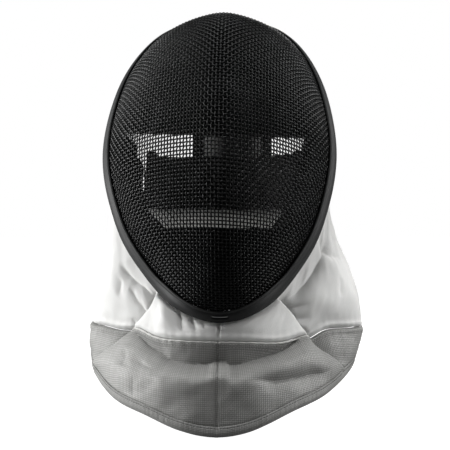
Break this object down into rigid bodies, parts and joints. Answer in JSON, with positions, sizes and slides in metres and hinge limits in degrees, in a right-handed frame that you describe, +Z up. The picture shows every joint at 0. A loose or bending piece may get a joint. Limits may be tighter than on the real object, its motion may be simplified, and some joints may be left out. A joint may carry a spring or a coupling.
{
  "type": "fencing mask",
  "caption": "Worn fencing mask: domed wire-mesh face with soft ridge, moulded edge trim, inner pads, elastic back straps, sprung tongue and quilted throat bib with conductive lower half.",
  "frame": {"origin": "the point of the crown padding's underside that rests on top of the head", "axes": "+Z up; the wearer looks along -Y; +X is on the right of whoever faces the mask"},
  "size_m": [0.2491, 0.2336, 0.374],
  "materials": {
    "black_wire": "satin black paint on woven steel wire",
    "charcoal_trim": "smooth semi-gloss moulded plastic",
    "black_padding": "brushed knit over foam",
    "black_elastic": "ribbed woven elastic",
    "grey_elastic": "ribbed woven elastic",
    "grey_tongue_cloth": "plain woven cloth over a sprung steel core",
    "plain_steel": "plain sheet",
    "white_quilted_cloth": "matt white woven cloth, padded",
    "grey_lame": "conductive woven cloth with a fine square grid and a soft metallic sheen"
  },
  "bodies": {
    "root": {"wire_mesh": "black_wire", "edge_trim": "charcoal_trim", "crown_pad": "black_padding", "cheek_pad_left": "black_padding", "cheek_pad_right": "black_padding", "chin_pad": "black_padding", "back_strap": "black_elastic", "neck_strap": "grey_elastic", "tongue_pad": "grey_tongue_cloth", "tongue_binding": "black_elastic", "tongue_clip": "plain_steel", "bib_upper_front": "white_quilted_cloth", "bib_upper_left": "white_quilted_cloth", "bib_upper_right": "white_quilted_cloth", "bib_lower_front": "grey_lame", "bib_lower_left": "grey_lame", "bib_lower_right": "grey_lame", "bib_binding": "grey_lame"}
  },
  "joints": []
}
